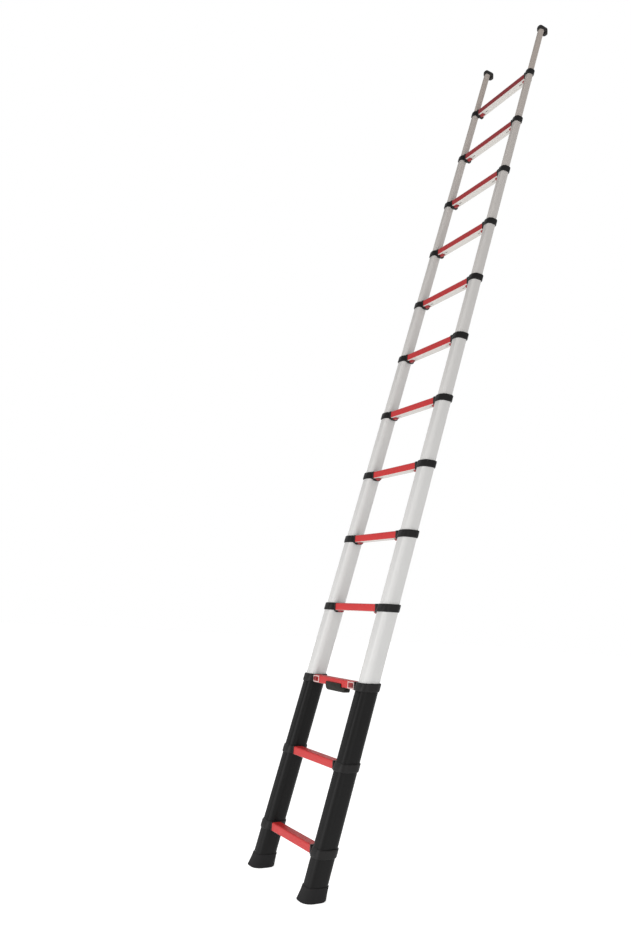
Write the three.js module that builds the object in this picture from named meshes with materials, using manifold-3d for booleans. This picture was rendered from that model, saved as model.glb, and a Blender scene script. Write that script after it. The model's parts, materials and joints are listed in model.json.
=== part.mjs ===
// Telescoping ladder, opened out and leaning at its working angle.
// Units are millimetres. +Z is up, X runs along the rungs with the climber's right at +X,
// the climber stands at -Y and the wall is at +Y. The origin is on the floor, midway between the stiles.
// The stiles lean towards +Y. Treads, collars, tube ends and soles are all cut level.

import * as THREE from 'three';
import { mergeVertices } from 'three/addons/utils/BufferGeometryUtils.js';
import Module from 'manifold-3d';

const wasm = await Module();
wasm.setup();

// ---- Driving dimensions ----

const LEAN_DEGREES = 15;          // from the vertical
const STILE_SPACING = 386;        // between the axes of the two stiles
const FIRST_COLLAR_TOP = 168;     // along the stile, from the floor
const BASE_PITCH = 284.5;         // along the stile, between the three fixed rungs
const RUNG_PITCH = 300;           // along the stile, between the rungs that telescope
const BASE_RUNGS = 3;
const SECTIONS = 10;              // sections that slide and carry a rung
const TOP_REACH = 292;            // along the stile, from the last collar to the top of the cap
const TUBE_OVERLAP = 80;          // length of each tube that stays inside the one below

const TOP_TUBE_WIDTH = 23;        // across X
const TOP_TUBE_DEPTH = 29.5;      // square to the stile
const CORNER_SHARE = 0.34;        // corner radius of a tube, as a share of its depth
const TUBE_WALL = 1.5;
const TUBE_GAP = 0.65;            // between nested tubes, all round

const COLLAR_HEIGHT = 31;
const COLLAR_PROUD = 4;           // beyond its own tube, all round
const LIP_THICKNESS = 3;          // the collar's top edge, which guides the next tube
const SPIGOT_LENGTH = 9;          // the collar's stub inside the rung's end

const RUNG_HEIGHT = 29.5;
const RUNG_DEPTH = 38;
const RUNG_WALL = 2;
const RUNG_CORNER = 3;
const RUNG_DROP = 1;              // of the tread below the collar's top
const RUNG_SETBACK = 9.5;         // behind the front of its own tube
const DRAIN_SLOT_WIDTH = 5;
const DRAIN_SLOT_LENGTH = 18;
const DRAIN_SLOT_FROM_END = 45;   // between each of the two slots and its end of the rung

const TAB_LENGTH = 26;
const TAB_DEPTH = 12;
const TAB_HEIGHT = 7.5;

const BOOT_HEIGHT = 47;
const BOOT_WALL = 2.8;
const SOLE_THICKNESS = 8;
const SOLE_FLARE = 5.5;           // how much further out the sole is than the boot's top
const SOLE_SHIFT = 3;             // of the sole towards the climber

const CAP_WALL = 4;
const CAP_SKIRT = 26;
const CAP_TOP = 7;                // thickness over the tube's end
const LOBE_REACH = 16;            // of the wall pad behind the top tube
const LOBE_DROP = 9;              // of the wall pad below the skirt
const CAP_ROUND = 12;

const GRIP_LENGTH = 150;
const GRIP_OFFSET = 15;           // towards +X
const GRIP_DEPTH = 26;
const GRIP_DROP = 17;             // below the rung
const GRIP_FACE = 4.5;            // thickness of the part in front of the rung
const GRIP_RISE = 14;             // of that part up the rung's front

const FRAME_WIDTH = 42;
const FRAME_HEIGHT = 25;
const FRAME_BORDER = 5;
const FRAME_THICKNESS = 3;
const FRAME_FROM_END = 5;         // between the button frame and the rung's end
const BUTTON_WIDTH = 22;
const BUTTON_PROUD = 4;           // beyond its frame
const BUTTON_PLAY = 0.9;          // round the button in its frame
const PIN_DIAMETER = 8;
const PIN_BEHIND_FRONT = 23;      // from the rung's front to the pin's axis
const PIN_CLEARANCE = 0.5;

const FIT = 0.3;                  // gap between pieces that touch
const SLIDE_FIT = 0.35;           // gap between a collar's lip and the tube that slides in it

const CORNER_SEGMENTS = 2;         // each quarter of a tube's outline has twice this many sides
const EDGE_SEGMENTS = 1;           // the same for a rung's outline
const ROUND_SEGMENTS = 16;

// ---- Derived values ----

const LEAN = THREE.MathUtils.degToRad(LEAN_DEGREES);
const RUNGS = BASE_RUNGS + SECTIONS;
const TUBE_STEP = 2 * (TUBE_WALL + TUBE_GAP);
const MARGIN = 5;                 // how far a cutting shape runs past what it cuts

const level = (alongStile) => alongStile * Math.cos(LEAN);
const leanAt = (height) => height * Math.tan(LEAN);

const PAINT = { red: 0xc23c40, black: 0x29282b };
const FINISH = {
  silver: { color: 0xd2d1cd, roughness: 0.38, metalness: 0.9 },
  blackTube: { color: PAINT.black, roughness: 0.5, metalness: 0.3 },
  redPaint: { color: PAINT.red, roughness: 0.45, metalness: 0.1 },
  blackPlastic: { color: PAINT.black, roughness: 0.6, metalness: 0 },
  redPlastic: { color: PAINT.red, roughness: 0.5, metalness: 0 },
  palePlastic: { color: 0xe9e2de, roughness: 0.5, metalness: 0 },
  rubber: { color: 0x3a3a3c, roughness: 0.85, metalness: 0 },
  steel: { color: 0xb8b8b8, roughness: 0.3, metalness: 1 },
};

const ladder = new THREE.Group();

function addPart(name, geometry, finish) {
  const mesh = new THREE.Mesh(geometry, new THREE.MeshStandardMaterial(finish));
  mesh.name = name;
  ladder.add(mesh);
}

const twoDigits = (number) => String(number).padStart(2, '0');
const SIDES = [{ name: 'left', sign: -1 }, { name: 'right', sign: 1 }];

// ---- Solids ----

function toSolid(geometry) {
  const bare = geometry.clone();
  bare.deleteAttribute('normal');
  bare.deleteAttribute('uv');
  const merged = mergeVertices(bare, 1e-4);
  const triVerts = new Uint32Array(merged.index.array);
  const vertProperties = new Float32Array(merged.attributes.position.array);
  return new wasm.Manifold(new wasm.Mesh({ numProp: 3, vertProperties, triVerts }));
}

function toGeometry(solid) {
  const mesh = solid.getMesh();
  const geometry = new THREE.BufferGeometry();
  geometry.setAttribute('position', new THREE.BufferAttribute(new Float32Array(mesh.vertProperties), 3));
  geometry.setIndex(new THREE.BufferAttribute(new Uint32Array(mesh.triVerts), 1));
  geometry.computeVertexNormals();
  return geometry;
}

const join = (solids) => solids.reduce((whole, piece) => whole.add(piece));
const cut = (solid, tools) => tools.reduce((rest, tool) => rest.subtract(tool), solid);

function box(low, high) {
  const size = new THREE.Vector3().subVectors(high, low);
  const centre = new THREE.Vector3().addVectors(low, high).multiplyScalar(0.5);
  return toSolid(new THREE.BoxGeometry(size.x, size.y, size.z).translate(centre.x, centre.y, centre.z));
}

// A rod along X from one x to another, in either order.
function rodAlongX(fromX, toX, y, z, diameter) {
  const rod = new THREE.CylinderGeometry(diameter / 2, diameter / 2, Math.abs(toX - fromX), ROUND_SEGMENTS);
  return toSolid(rod.rotateZ(Math.PI / 2).translate((fromX + toX) / 2, y, z));
}

// Draws a closed rectangle with round corners, centred on the origin, on a Shape or a Path.
function roundedRectangle(outline, { width, depth, radius }) {
  const x = width / 2 - radius;
  const y = depth / 2 - radius;
  const quarter = Math.PI / 2;
  outline.absarc(x, y, radius, 0, quarter, false);
  outline.absarc(-x, y, radius, quarter, 2 * quarter, false);
  outline.absarc(-x, -y, radius, 2 * quarter, 3 * quarter, false);
  outline.absarc(x, -y, radius, 3 * quarter, 4 * quarter, false);
  outline.closePath();
  return outline;
}

// The section of a tube square to the stile: 0 is the base tube and the last is the top tube.
function tubeSection(nesting) {
  const stepsOut = SECTIONS + 1 - nesting;
  const depth = TOP_TUBE_DEPTH + TUBE_STEP * stepsOut;
  return { width: TOP_TUBE_WIDTH + TUBE_STEP * stepsOut, depth, radius: CORNER_SHARE * depth };
}

// The same section with its wall moved outwards, or inwards when the distance is negative.
function grow(section, distance) {
  return {
    width: section.width + 2 * distance,
    depth: section.depth + 2 * distance,
    radius: Math.min(section.radius + distance, section.width / 2 + distance),
  };
}

// A solid bar of one section that follows the stile between two heights, with both ends level.
function leaningBar(section, low, high) {
  const shape = roundedRectangle(new THREE.Shape(), section);
  const options = { depth: high - low, bevelEnabled: false, curveSegments: CORNER_SEGMENTS };
  const bar = new THREE.ExtrudeGeometry(shape, options);
  bar.scale(1, 1 / Math.cos(LEAN), 1);
  bar.translate(0, 0, low);
  bar.applyMatrix4(new THREE.Matrix4().makeShear(0, 0, 0, 0, 0, Math.tan(LEAN)));
  return toSolid(bar);
}

// A tube or ring that follows the stile, open at both ends.
function leaningTube(outer, inner, low, high) {
  return leaningBar(outer, low, high).subtract(leaningBar(inner, low - MARGIN, high + MARGIN));
}

// An outline in the YZ plane, extruded along X from one x to another.
function extrudeAlongX(shape, fromX, toX, segments = CORNER_SEGMENTS) {
  const options = { depth: toX - fromX, bevelEnabled: false, curveSegments: segments };
  const bar = new THREE.ExtrudeGeometry(shape, options);
  const axes = [new THREE.Vector3(0, 1, 0), new THREE.Vector3(0, 0, 1), new THREE.Vector3(1, 0, 0)];
  bar.applyMatrix4(new THREE.Matrix4().makeBasis(...axes));
  bar.translate(fromX, 0, 0);
  return toSolid(bar);
}

// ---- Where the rungs and collars are ----

// Height of the top of a collar, counted from 1 at the bottom.
function collarTop(number) {
  const fixed = Math.min(number, BASE_RUNGS) - 1;
  const sliding = Math.max(number - BASE_RUNGS, 0);
  return level(FIRST_COLLAR_TOP + fixed * BASE_PITCH + sliding * RUNG_PITCH);
}

// The rung with this number sits on the tube with this place in the nest.
const nestingOf = (number) => Math.max(number - BASE_RUNGS, 0);

// The box that a rung fills between its two collars.
function rungPlace(number) {
  const section = tubeSection(nestingOf(number));
  const top = collarTop(number) - RUNG_DROP;
  const bottom = top - RUNG_HEIGHT;
  const front = leanAt((top + bottom) / 2) - section.depth / 2 / Math.cos(LEAN) + RUNG_SETBACK;
  const end = STILE_SPACING / 2 - section.width / 2 - COLLAR_PROUD;
  return { top, bottom, front, back: front + RUNG_DEPTH, end };
}

// ---- Rungs ----

function rungOutline(inset) {
  const size = {
    width: RUNG_DEPTH - 2 * inset,
    depth: RUNG_HEIGHT - 2 * inset,
    radius: Math.max(RUNG_CORNER - inset, FIT),
  };
  return roundedRectangle(new THREE.Shape(), size);
}

// A bar with a rung's outline, from one x to another in either order.
function rungBar(place, inset, fromX, toX) {
  const bar = extrudeAlongX(rungOutline(inset), Math.min(fromX, toX), Math.max(fromX, toX), EDGE_SEGMENTS);
  return bar.translate([0, (place.front + place.back) / 2, (place.top + place.bottom) / 2]);
}

// A slot through a rung's underside, near one end, that lets water out.
function drainSlot(place, sign) {
  const middle = (place.front + place.back) / 2;
  const outer = sign * (place.end - DRAIN_SLOT_FROM_END);
  const inner = outer - sign * DRAIN_SLOT_LENGTH;
  return box(
    new THREE.Vector3(Math.min(outer, inner), middle - DRAIN_SLOT_WIDTH / 2, place.bottom - MARGIN),
    new THREE.Vector3(Math.max(outer, inner), middle + DRAIN_SLOT_WIDTH / 2, place.bottom + RUNG_WALL + FIT),
  );
}

// A hollow rung with open ends.
function hollowRung(number, halfLength) {
  const place = rungPlace(number);
  const hollow = rungBar(place, RUNG_WALL, -halfLength - MARGIN, halfLength + MARGIN);
  const slots = SIDES.map(({ sign }) => drainSlot(place, sign));
  return cut(rungBar(place, 0, -halfLength, halfLength), [hollow, ...slots]);
}

// The wedge under one end of a rung, which the rung below pushes up as the ladder closes.
function tripTab(number, sign) {
  const place = rungPlace(number);
  const wedge = new THREE.Shape();
  wedge.moveTo(place.back - TAB_DEPTH - RUNG_CORNER, place.bottom + FIT);
  wedge.lineTo(place.back - TAB_DEPTH, place.bottom - TAB_HEIGHT);
  wedge.lineTo(place.back - RUNG_CORNER - FIT, place.bottom - TAB_HEIGHT);
  wedge.lineTo(place.back - RUNG_CORNER, place.bottom + FIT);
  wedge.closePath();
  const outer = sign * place.end;
  const inner = sign * (place.end - TAB_LENGTH);
  return extrudeAlongX(wedge, Math.min(outer, inner), Math.max(outer, inner));
}

// ---- Collars ----

// The stub on a collar's inner side, which holds the rung's end from inside.
function spigot(number, sign) {
  const place = rungPlace(number);
  const root = sign * (place.end + COLLAR_PROUD / 2);
  return rungBar(place, RUNG_WALL + FIT, root, sign * (place.end - SPIGOT_LENGTH));
}

// A collar before its bore is cut.
function collarBlank(number, sign) {
  const top = collarTop(number);
  const own = tubeSection(nestingOf(number));
  const blank = leaningBar(grow(own, COLLAR_PROUD), top - level(COLLAR_HEIGHT), top);
  return blank.translate([sign * STILE_SPACING / 2, 0, 0]);
}

// What a collar's bore removes: its own tube from below and, past the lip, the tube that slides in it.
// The collars below the top fixed rung have no lip, because the base tube runs on through them.
function collarBore(number, sign) {
  const top = collarTop(number);
  const bottom = top - level(COLLAR_HEIGHT) - MARGIN;
  const own = grow(tubeSection(nestingOf(number)), FIT);
  const through = number < BASE_RUNGS;
  const bores = [leaningBar(own, bottom, through ? top + MARGIN : top - LIP_THICKNESS)];
  if (!through) {
    const next = grow(tubeSection(nestingOf(number) + 1), SLIDE_FIT);
    bores.push(leaningBar(next, top - LIP_THICKNESS - MARGIN, top + MARGIN));
  }
  return join(bores).translate([sign * STILE_SPACING / 2, 0, 0]);
}

function collar(number, sign) {
  return join([collarBlank(number, sign), spigot(number, sign)]).subtract(collarBore(number, sign));
}

// ---- Lock and release buttons on the lowest sliding joint ----

// Sizes and places of one release mechanism on the top fixed rung.
function releasePlace(sign) {
  const place = rungPlace(BASE_RUNGS);
  const frameOuter = place.end - FRAME_FROM_END;
  const opening = { width: FRAME_WIDTH - 2 * FRAME_BORDER, height: FRAME_HEIGHT - 2 * FRAME_BORDER };
  const openingOuter = frameOuter - FRAME_BORDER;
  const buttonOuter = openingOuter - BUTTON_PLAY;
  return {
    sign,
    front: place.front,
    middle: (place.top + place.bottom) / 2,
    frameX: frameOuter - FRAME_WIDTH / 2,
    opening,
    buttonX: buttonOuter - BUTTON_WIDTH / 2,
    buttonHeight: opening.height - 2 * BUTTON_PLAY,
    pinY: place.front + PIN_BEHIND_FRONT,
  };
}

// A box centred on X = sign * x, from one Y to another, centred on the middle of the rung's height.
function slab(release, x, width, fromY, toY, height) {
  const centre = release.sign * x;
  return box(
    new THREE.Vector3(centre - width / 2, fromY, release.middle - height / 2),
    new THREE.Vector3(centre + width / 2, toY, release.middle + height / 2),
  );
}

function buttonFrame(release) {
  const faceY = release.front - FIT;
  const frontY = faceY - FRAME_THICKNESS;
  const plate = slab(release, release.frameX, FRAME_WIDTH, frontY, faceY, FRAME_HEIGHT);
  const { width, height } = release.opening;
  return plate.subtract(slab(release, release.frameX, width, frontY - MARGIN, faceY + MARGIN, height));
}

function releaseButton(release) {
  const frontY = release.front - FIT - FRAME_THICKNESS - BUTTON_PROUD;
  const backY = release.pinY + PIN_DIAMETER / 2;
  return slab(release, release.buttonX, BUTTON_WIDTH, frontY, backY, release.buttonHeight);
}

// The pin runs from the button's stem, through the collar, into the base tube's inner wall.
function lockPin(release) {
  const base = tubeSection(0);
  const fromX = release.buttonX + BUTTON_WIDTH / 2 + FIT;
  const toX = STILE_SPACING / 2 - base.width / 2 + TUBE_WALL + TUBE_GAP / 2;
  return rodAlongX(release.sign * fromX, release.sign * toX, release.pinY, release.middle, PIN_DIAMETER);
}

function pinHole(release) {
  const fromX = release.buttonX + BUTTON_WIDTH / 2;
  const diameter = PIN_DIAMETER + 2 * PIN_CLEARANCE;
  const toX = STILE_SPACING / 2;
  return rodAlongX(release.sign * fromX, release.sign * toX, release.pinY, release.middle, diameter);
}

function buttonWindow(release) {
  const { width, height } = release.opening;
  const backY = release.front + RUNG_WALL + FIT;
  return slab(release, release.frameX, width, release.front - MARGIN, backY, height);
}

// The room that a button frame needs in front of the rung, which the hand grip leaves free.
function frameRelief(release) {
  const frontY = release.front - FRAME_THICKNESS - GRIP_FACE - MARGIN;
  const size = { width: FRAME_WIDTH + 2 * FIT, height: FRAME_HEIGHT + 2 * FIT };
  return slab(release, release.frameX, size.width, frontY, release.front, size.height);
}

const releases = SIDES.map(({ sign }) => releasePlace(sign));

// ---- Feet, caps and hand grip ----

// A rubber boot on the base tube's end, wider at its level sole.
function foot(sign) {
  const outer = grow(tubeSection(0), BOOT_WALL);
  const height = level(BOOT_HEIGHT);
  const options = { depth: height, steps: 4, bevelEnabled: false, curveSegments: CORNER_SEGMENTS };
  const boot = new THREE.ExtrudeGeometry(roundedRectangle(new THREE.Shape(), outer), options);
  const points = boot.attributes.position;
  for (let i = 0; i < points.count; i += 1) {
    const flare = Math.max(1 - points.getZ(i) / height, 0) ** 1.5;
    const x = points.getX(i) * (1 + flare * SOLE_FLARE * 2 / outer.width);
    const y = points.getY(i) * (1 + flare * SOLE_FLARE * 2 / outer.depth) / Math.cos(LEAN);
    points.setXYZ(i, x, y + leanAt(points.getZ(i)) - flare * SOLE_SHIFT, points.getZ(i));
  }
  const socket = leaningBar(grow(tubeSection(0), FIT), SOLE_THICKNESS, height + MARGIN);
  return toSolid(boot).subtract(socket).translate([sign * STILE_SPACING / 2, 0, 0]);
}

const capTop = collarTop(RUNGS) + level(TOP_REACH);

// A hood over the top tube with a thick lobe behind it that rests on the wall.
function topCap(sign) {
  const section = tubeSection(SECTIONS + 1);
  const skirt = capTop - level(CAP_SKIRT);
  const middle = leanAt(capTop - level(CAP_SKIRT) / 2);
  const half = section.depth / 2 / Math.cos(LEAN) + CAP_WALL + leanAt(level(CAP_SKIRT)) / 2;
  const front = middle - half;
  const back = middle + half + LOBE_REACH - CAP_WALL;
  const step = middle + half;
  const hood = new THREE.Shape();
  hood.moveTo(front, skirt);
  hood.lineTo(step, skirt);
  hood.lineTo(step, skirt - LOBE_DROP / 2);
  hood.absarc(step + LOBE_DROP / 2, skirt - LOBE_DROP / 2, LOBE_DROP / 2, Math.PI, 1.5 * Math.PI, false);
  hood.absarc(back - LOBE_DROP / 2, skirt - LOBE_DROP / 2, LOBE_DROP / 2, 1.5 * Math.PI, 2 * Math.PI, false);
  hood.absarc(back - CAP_ROUND, capTop - CAP_ROUND, CAP_ROUND, 0, 0.5 * Math.PI, false);
  hood.absarc(front + CAP_ROUND, capTop - CAP_ROUND, CAP_ROUND, 0.5 * Math.PI, Math.PI, false);
  hood.closePath();
  const halfWidth = section.width / 2 + CAP_WALL;
  const socket = leaningBar(grow(section, FIT), skirt - MARGIN, capTop - CAP_TOP);
  return extrudeAlongX(hood, -halfWidth, halfWidth).subtract(socket)
    .translate([sign * STILE_SPACING / 2, 0, 0]);
}

// A grip under the top fixed rung that turns up in front of it, between the two button frames.
function handGrip() {
  const place = rungPlace(BASE_RUNGS);
  const front = place.front - FIT - GRIP_FACE;
  const under = place.bottom - FIT;
  const outline = new THREE.Shape();
  const round = GRIP_DROP / 2;
  outline.absarc(front + round, under - GRIP_DROP + round, round, Math.PI, 1.5 * Math.PI, false);
  outline.absarc(front + GRIP_DEPTH - round, under - GRIP_DROP + round, round, 1.5 * Math.PI, 2 * Math.PI, false);
  outline.lineTo(front + GRIP_DEPTH, under);
  outline.lineTo(place.front - FIT, under);
  outline.lineTo(place.front - FIT, under + GRIP_RISE);
  outline.lineTo(front, under + GRIP_RISE);
  outline.closePath();
  const grip = extrudeAlongX(outline, GRIP_OFFSET - GRIP_LENGTH / 2, GRIP_OFFSET + GRIP_LENGTH / 2);
  return cut(grip, releases.map(frameRelief));
}

// ---- Tubes ----

// A stile tube between two heights, given its place in the nest.
function stileTube(nesting, sign, low, high) {
  const outer = tubeSection(nesting);
  return leaningTube(outer, grow(outer, -TUBE_WALL), low, high).translate([sign * STILE_SPACING / 2, 0, 0]);
}

const tubeTopBelowLip = (number) => collarTop(number) - LIP_THICKNESS - FIT;

// ---- Assembly ----

function addBase() {
  SIDES.forEach(({ name, sign }, side) => {
    const tube = stileTube(0, sign, SOLE_THICKNESS + FIT, tubeTopBelowLip(BASE_RUNGS));
    addPart(`base_tube_${name}`, toGeometry(tube.subtract(pinHole(releases[side]))), FINISH.blackTube);
    addPart(`foot_${name}`, toGeometry(foot(sign)), FINISH.rubber);
    for (let number = 1; number < BASE_RUNGS; number += 1) {
      const band = collar(number, sign);
      addPart(`collar_${twoDigits(number)}_${name}`, toGeometry(band), FINISH.blackPlastic);
    }
    const lockCollar = collar(BASE_RUNGS, sign).subtract(pinHole(releases[side]));
    addPart(`collar_${twoDigits(BASE_RUNGS)}_${name}`, toGeometry(lockCollar), FINISH.blackPlastic);
    addPart(`button_frame_${name}`, toGeometry(buttonFrame(releases[side])), FINISH.palePlastic);
    addPart(`release_button_${name}`, toGeometry(releaseButton(releases[side])), FINISH.redPlastic);
    addPart(`lock_pin_${name}`, toGeometry(lockPin(releases[side])), FINISH.steel);
  });
  for (let number = 1; number < BASE_RUNGS; number += 1) {
    const bar = hollowRung(number, rungPlace(number).end - FIT);
    addPart(`rung_${twoDigits(number)}`, toGeometry(bar), FINISH.redPaint);
  }
  const lockRung = cut(hollowRung(BASE_RUNGS, rungPlace(BASE_RUNGS).end - FIT), releases.map(buttonWindow));
  addPart(`rung_${twoDigits(BASE_RUNGS)}`, toGeometry(lockRung), FINISH.redPaint);
  addPart('hand_grip', toGeometry(handGrip()), FINISH.blackPlastic);
}

// A rung with its two collars and trip tabs, which slide as one piece with their tubes.
function slidingRung(number) {
  const bar = hollowRung(number, rungPlace(number).end + COLLAR_PROUD / 2);
  const ends = SIDES.flatMap(({ sign }) => [collarBlank(number, sign), tripTab(number, sign)]);
  return cut(join([bar, ...ends]), SIDES.map(({ sign }) => collarBore(number, sign)));
}

function addSection(number) {
  addPart(`rung_${twoDigits(number)}`, toGeometry(slidingRung(number)), FINISH.redPaint);
  const low = collarTop(number - 1) - level(TUBE_OVERLAP);
  for (const { name, sign } of SIDES) {
    const tube = stileTube(nestingOf(number), sign, low, tubeTopBelowLip(number));
    addPart(`tube_${twoDigits(number)}_${name}`, toGeometry(tube), FINISH.silver);
  }
}

function addTop() {
  const low = collarTop(RUNGS) - level(TUBE_OVERLAP);
  for (const { name, sign } of SIDES) {
    const tube = stileTube(SECTIONS + 1, sign, low, capTop - CAP_TOP - FIT);
    addPart(`top_tube_${name}`, toGeometry(tube), FINISH.silver);
    addPart(`top_cap_${name}`, toGeometry(topCap(sign)), FINISH.rubber);
  }
}

addBase();
for (let number = BASE_RUNGS + 1; number <= RUNGS; number += 1) {
  addSection(number);
}
addTop();

export default ladder;
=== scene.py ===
"""Looks of a telescoping ladder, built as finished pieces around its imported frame.

Lengths are metres and +Z is up. The climber stands at -Y, the wall is at +Y, and X runs along the rungs.
The stiles lean towards the wall. Every piece keeps its place in its mesh.
"""

import json
import logging
import math
from dataclasses import dataclass
from enum import Enum
from typing import Iterable, Optional, Sequence, Union

import bmesh
import bpy
from mathutils import Matrix, Quaternion, Vector


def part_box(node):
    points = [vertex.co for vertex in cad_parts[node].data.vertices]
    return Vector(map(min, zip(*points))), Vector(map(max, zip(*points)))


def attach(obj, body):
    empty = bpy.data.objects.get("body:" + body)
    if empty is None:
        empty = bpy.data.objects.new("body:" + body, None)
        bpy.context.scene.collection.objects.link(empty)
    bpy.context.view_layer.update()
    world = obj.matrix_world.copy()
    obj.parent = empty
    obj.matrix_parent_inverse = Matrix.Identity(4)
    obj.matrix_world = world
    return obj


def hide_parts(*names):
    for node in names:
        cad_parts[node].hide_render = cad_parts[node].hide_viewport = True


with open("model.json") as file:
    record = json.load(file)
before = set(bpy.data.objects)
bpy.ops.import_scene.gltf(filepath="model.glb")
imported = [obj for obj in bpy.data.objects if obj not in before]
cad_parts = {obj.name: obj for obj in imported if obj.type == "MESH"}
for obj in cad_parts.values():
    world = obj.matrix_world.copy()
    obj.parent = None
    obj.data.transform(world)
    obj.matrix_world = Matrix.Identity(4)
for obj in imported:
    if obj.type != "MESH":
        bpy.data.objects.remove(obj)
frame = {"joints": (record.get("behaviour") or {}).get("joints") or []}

LOG = logging.getLogger("ladder")
MM = 0.001

FIXED_RUNGS = 3
RUNGS = 13
CORNER_SHARE = 0.34  # corner radius of a tube, as a share of its depth
TUBE_WALL = 1.5 * MM
COLLAR_PROUD = 4.0 * MM
TREAD_DROP = 1.0 * MM  # of the tread below the collar's top
RUNG_HEIGHT = 29.5 * MM
RUNG_DEPTH = 38.0 * MM
RUNG_SETBACK = 9.5 * MM  # of the rung's front behind the front of its own tube
FIXED_FLANGE = 8.0 * MM  # how far a collar's flange reaches towards a fixed rung
SLIDING_FLANGE = 12.0 * MM  # the same for a sliding rung
FIT = 0.3 * MM
SMOOTH_BELOW = math.radians(38)  # a larger angle between faces is a crisp edge


class Side(Enum):
    """The two stiles, with the sign of their X."""

    LEFT = -1
    RIGHT = 1

    @property
    def label(self) -> str:
        """The word used in names."""
        return self.name.lower()


class Slot(Enum):
    """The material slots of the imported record."""

    SILVER_TUBE = "silver_tube"
    BLACK_TUBE = "black_tube"
    RED_RUNG = "red_rung"
    BLACK_PLASTIC = "black_plastic"
    PALE_PLASTIC = "pale_plastic"
    RED_PLASTIC = "red_plastic"
    GRIP_PLASTIC = "grip_plastic"
    FOOT_RUBBER = "foot_rubber"
    CAP_RUBBER = "cap_rubber"
    PIN_STEEL = "pin_steel"


# ---- Measures taken from the frame ----


def lean_angle() -> float:
    """The lean of the stiles from the vertical, read from the line that the sections slide along."""
    axis = next(joint["axis"] for joint in frame["joints"] if joint["name"] == "section_04_slide")
    return math.atan2(axis[1], axis[2])


LEAN = lean_angle()


def lean_at(height: float) -> float:
    """How far the stile's axis is from the origin, towards the wall, at a height."""
    return height * math.tan(LEAN)


@dataclass(frozen=True)
class Section:
    """The outline of a stile tube, square to the stile: a rectangle with round corners."""

    width: float
    depth: float
    radius: float

    @classmethod
    def of(cls, node: str) -> "Section":
        """Reads a tube's outline from its box in the frame.

        Args:
            node: the tube's name.

        Returns:
            The outline of its outer wall.
        """
        low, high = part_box(node)
        level_depth = high.y - low.y - (high.z - low.z) * math.tan(LEAN)
        depth = level_depth * math.cos(LEAN)
        return cls(high.x - low.x, depth, CORNER_SHARE * depth)

    def grown(self, distance: float) -> "Section":
        """The outline with its wall moved outwards, or inwards if the distance is negative."""
        return Section(self.width + 2 * distance, self.depth + 2 * distance, self.radius + distance)


def own_tube(number: int) -> str:
    """The tube that the collar with this number sits on, at the left."""
    return "base_tube_left" if number <= FIXED_RUNGS else f"tube_{number:02d}_left"


def next_tube(number: int) -> str:
    """The tube that slides in the collar with this number, at the left."""
    return "top_tube_left" if number == RUNGS else f"tube_{number + 1:02d}_left"


def body_of(number: int) -> str:
    """The body that carries the rung with this number."""
    return "base" if number <= FIXED_RUNGS else f"section_{number:02d}"


def stile_x(side: Side) -> float:
    """Where a stile's axis is along X."""
    low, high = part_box(f"base_tube_{side.label}")
    return (low.x + high.x) / 2


@dataclass(frozen=True)
class RungPlace:
    """The box that a rung fills between its two collars."""

    number: int
    top: float
    bottom: float
    front: float
    back: float
    end: float

    @classmethod
    def of(cls, number: int) -> "RungPlace":
        """Works out where a rung is.

        Args:
            number: the rung, counted from 1 at the bottom.

        Returns:
            Its place between its collars.
        """
        collar = f"collar_{number:02d}_left" if number <= FIXED_RUNGS else f"rung_{number:02d}"
        section = Section.of(own_tube(number))
        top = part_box(collar)[1].z - TREAD_DROP
        bottom = top - RUNG_HEIGHT
        front = lean_at((top + bottom) / 2) - section.depth / 2 / math.cos(LEAN) + RUNG_SETBACK
        end = stile_x(Side.RIGHT) - section.width / 2 - COLLAR_PROUD
        return cls(number, top, bottom, front, front + RUNG_DEPTH, end)

    @property
    def collar_top(self) -> float:
        """The height of the top of its collars."""
        return self.top + TREAD_DROP

    @property
    def flange_tip(self) -> float:
        """Where the collars' flanges end, from the middle."""
        return self.end - (FIXED_FLANGE if self.number <= FIXED_RUNGS else SLIDING_FLANGE)


# ---- Shaders ----

Number = Union["Wire", float, int]
Colour = tuple[float, float, float]


class Wire:
    """A value that runs between shader nodes. Python's operators on it add the nodes that work them out."""

    def __init__(self, paint: "Paint", socket: bpy.types.NodeSocket) -> None:
        """Keeps the paint that the value belongs to and the socket it comes from."""
        self.paint = paint
        self.socket = socket

    def maths(self, operation: str, first: Number, second: Number = 0.0) -> "Wire":
        """One Math node with this operation."""
        return self.paint.node("ShaderNodeMath", {"operation": operation}, {0: first, 1: second})

    def __add__(self, other: Number) -> "Wire":
        """The sum."""
        return self.maths("ADD", self, other)

    def __radd__(self, other: Number) -> "Wire":
        """The sum, with the number first."""
        return self.maths("ADD", other, self)

    def __sub__(self, other: Number) -> "Wire":
        """The difference."""
        return self.maths("SUBTRACT", self, other)

    def __rsub__(self, other: Number) -> "Wire":
        """The difference, with the number first."""
        return self.maths("SUBTRACT", other, self)

    def __mul__(self, other: Number) -> "Wire":
        """The product."""
        return self.maths("MULTIPLY", self, other)

    def __rmul__(self, other: Number) -> "Wire":
        """The product, with the number first."""
        return self.maths("MULTIPLY", other, self)


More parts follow.
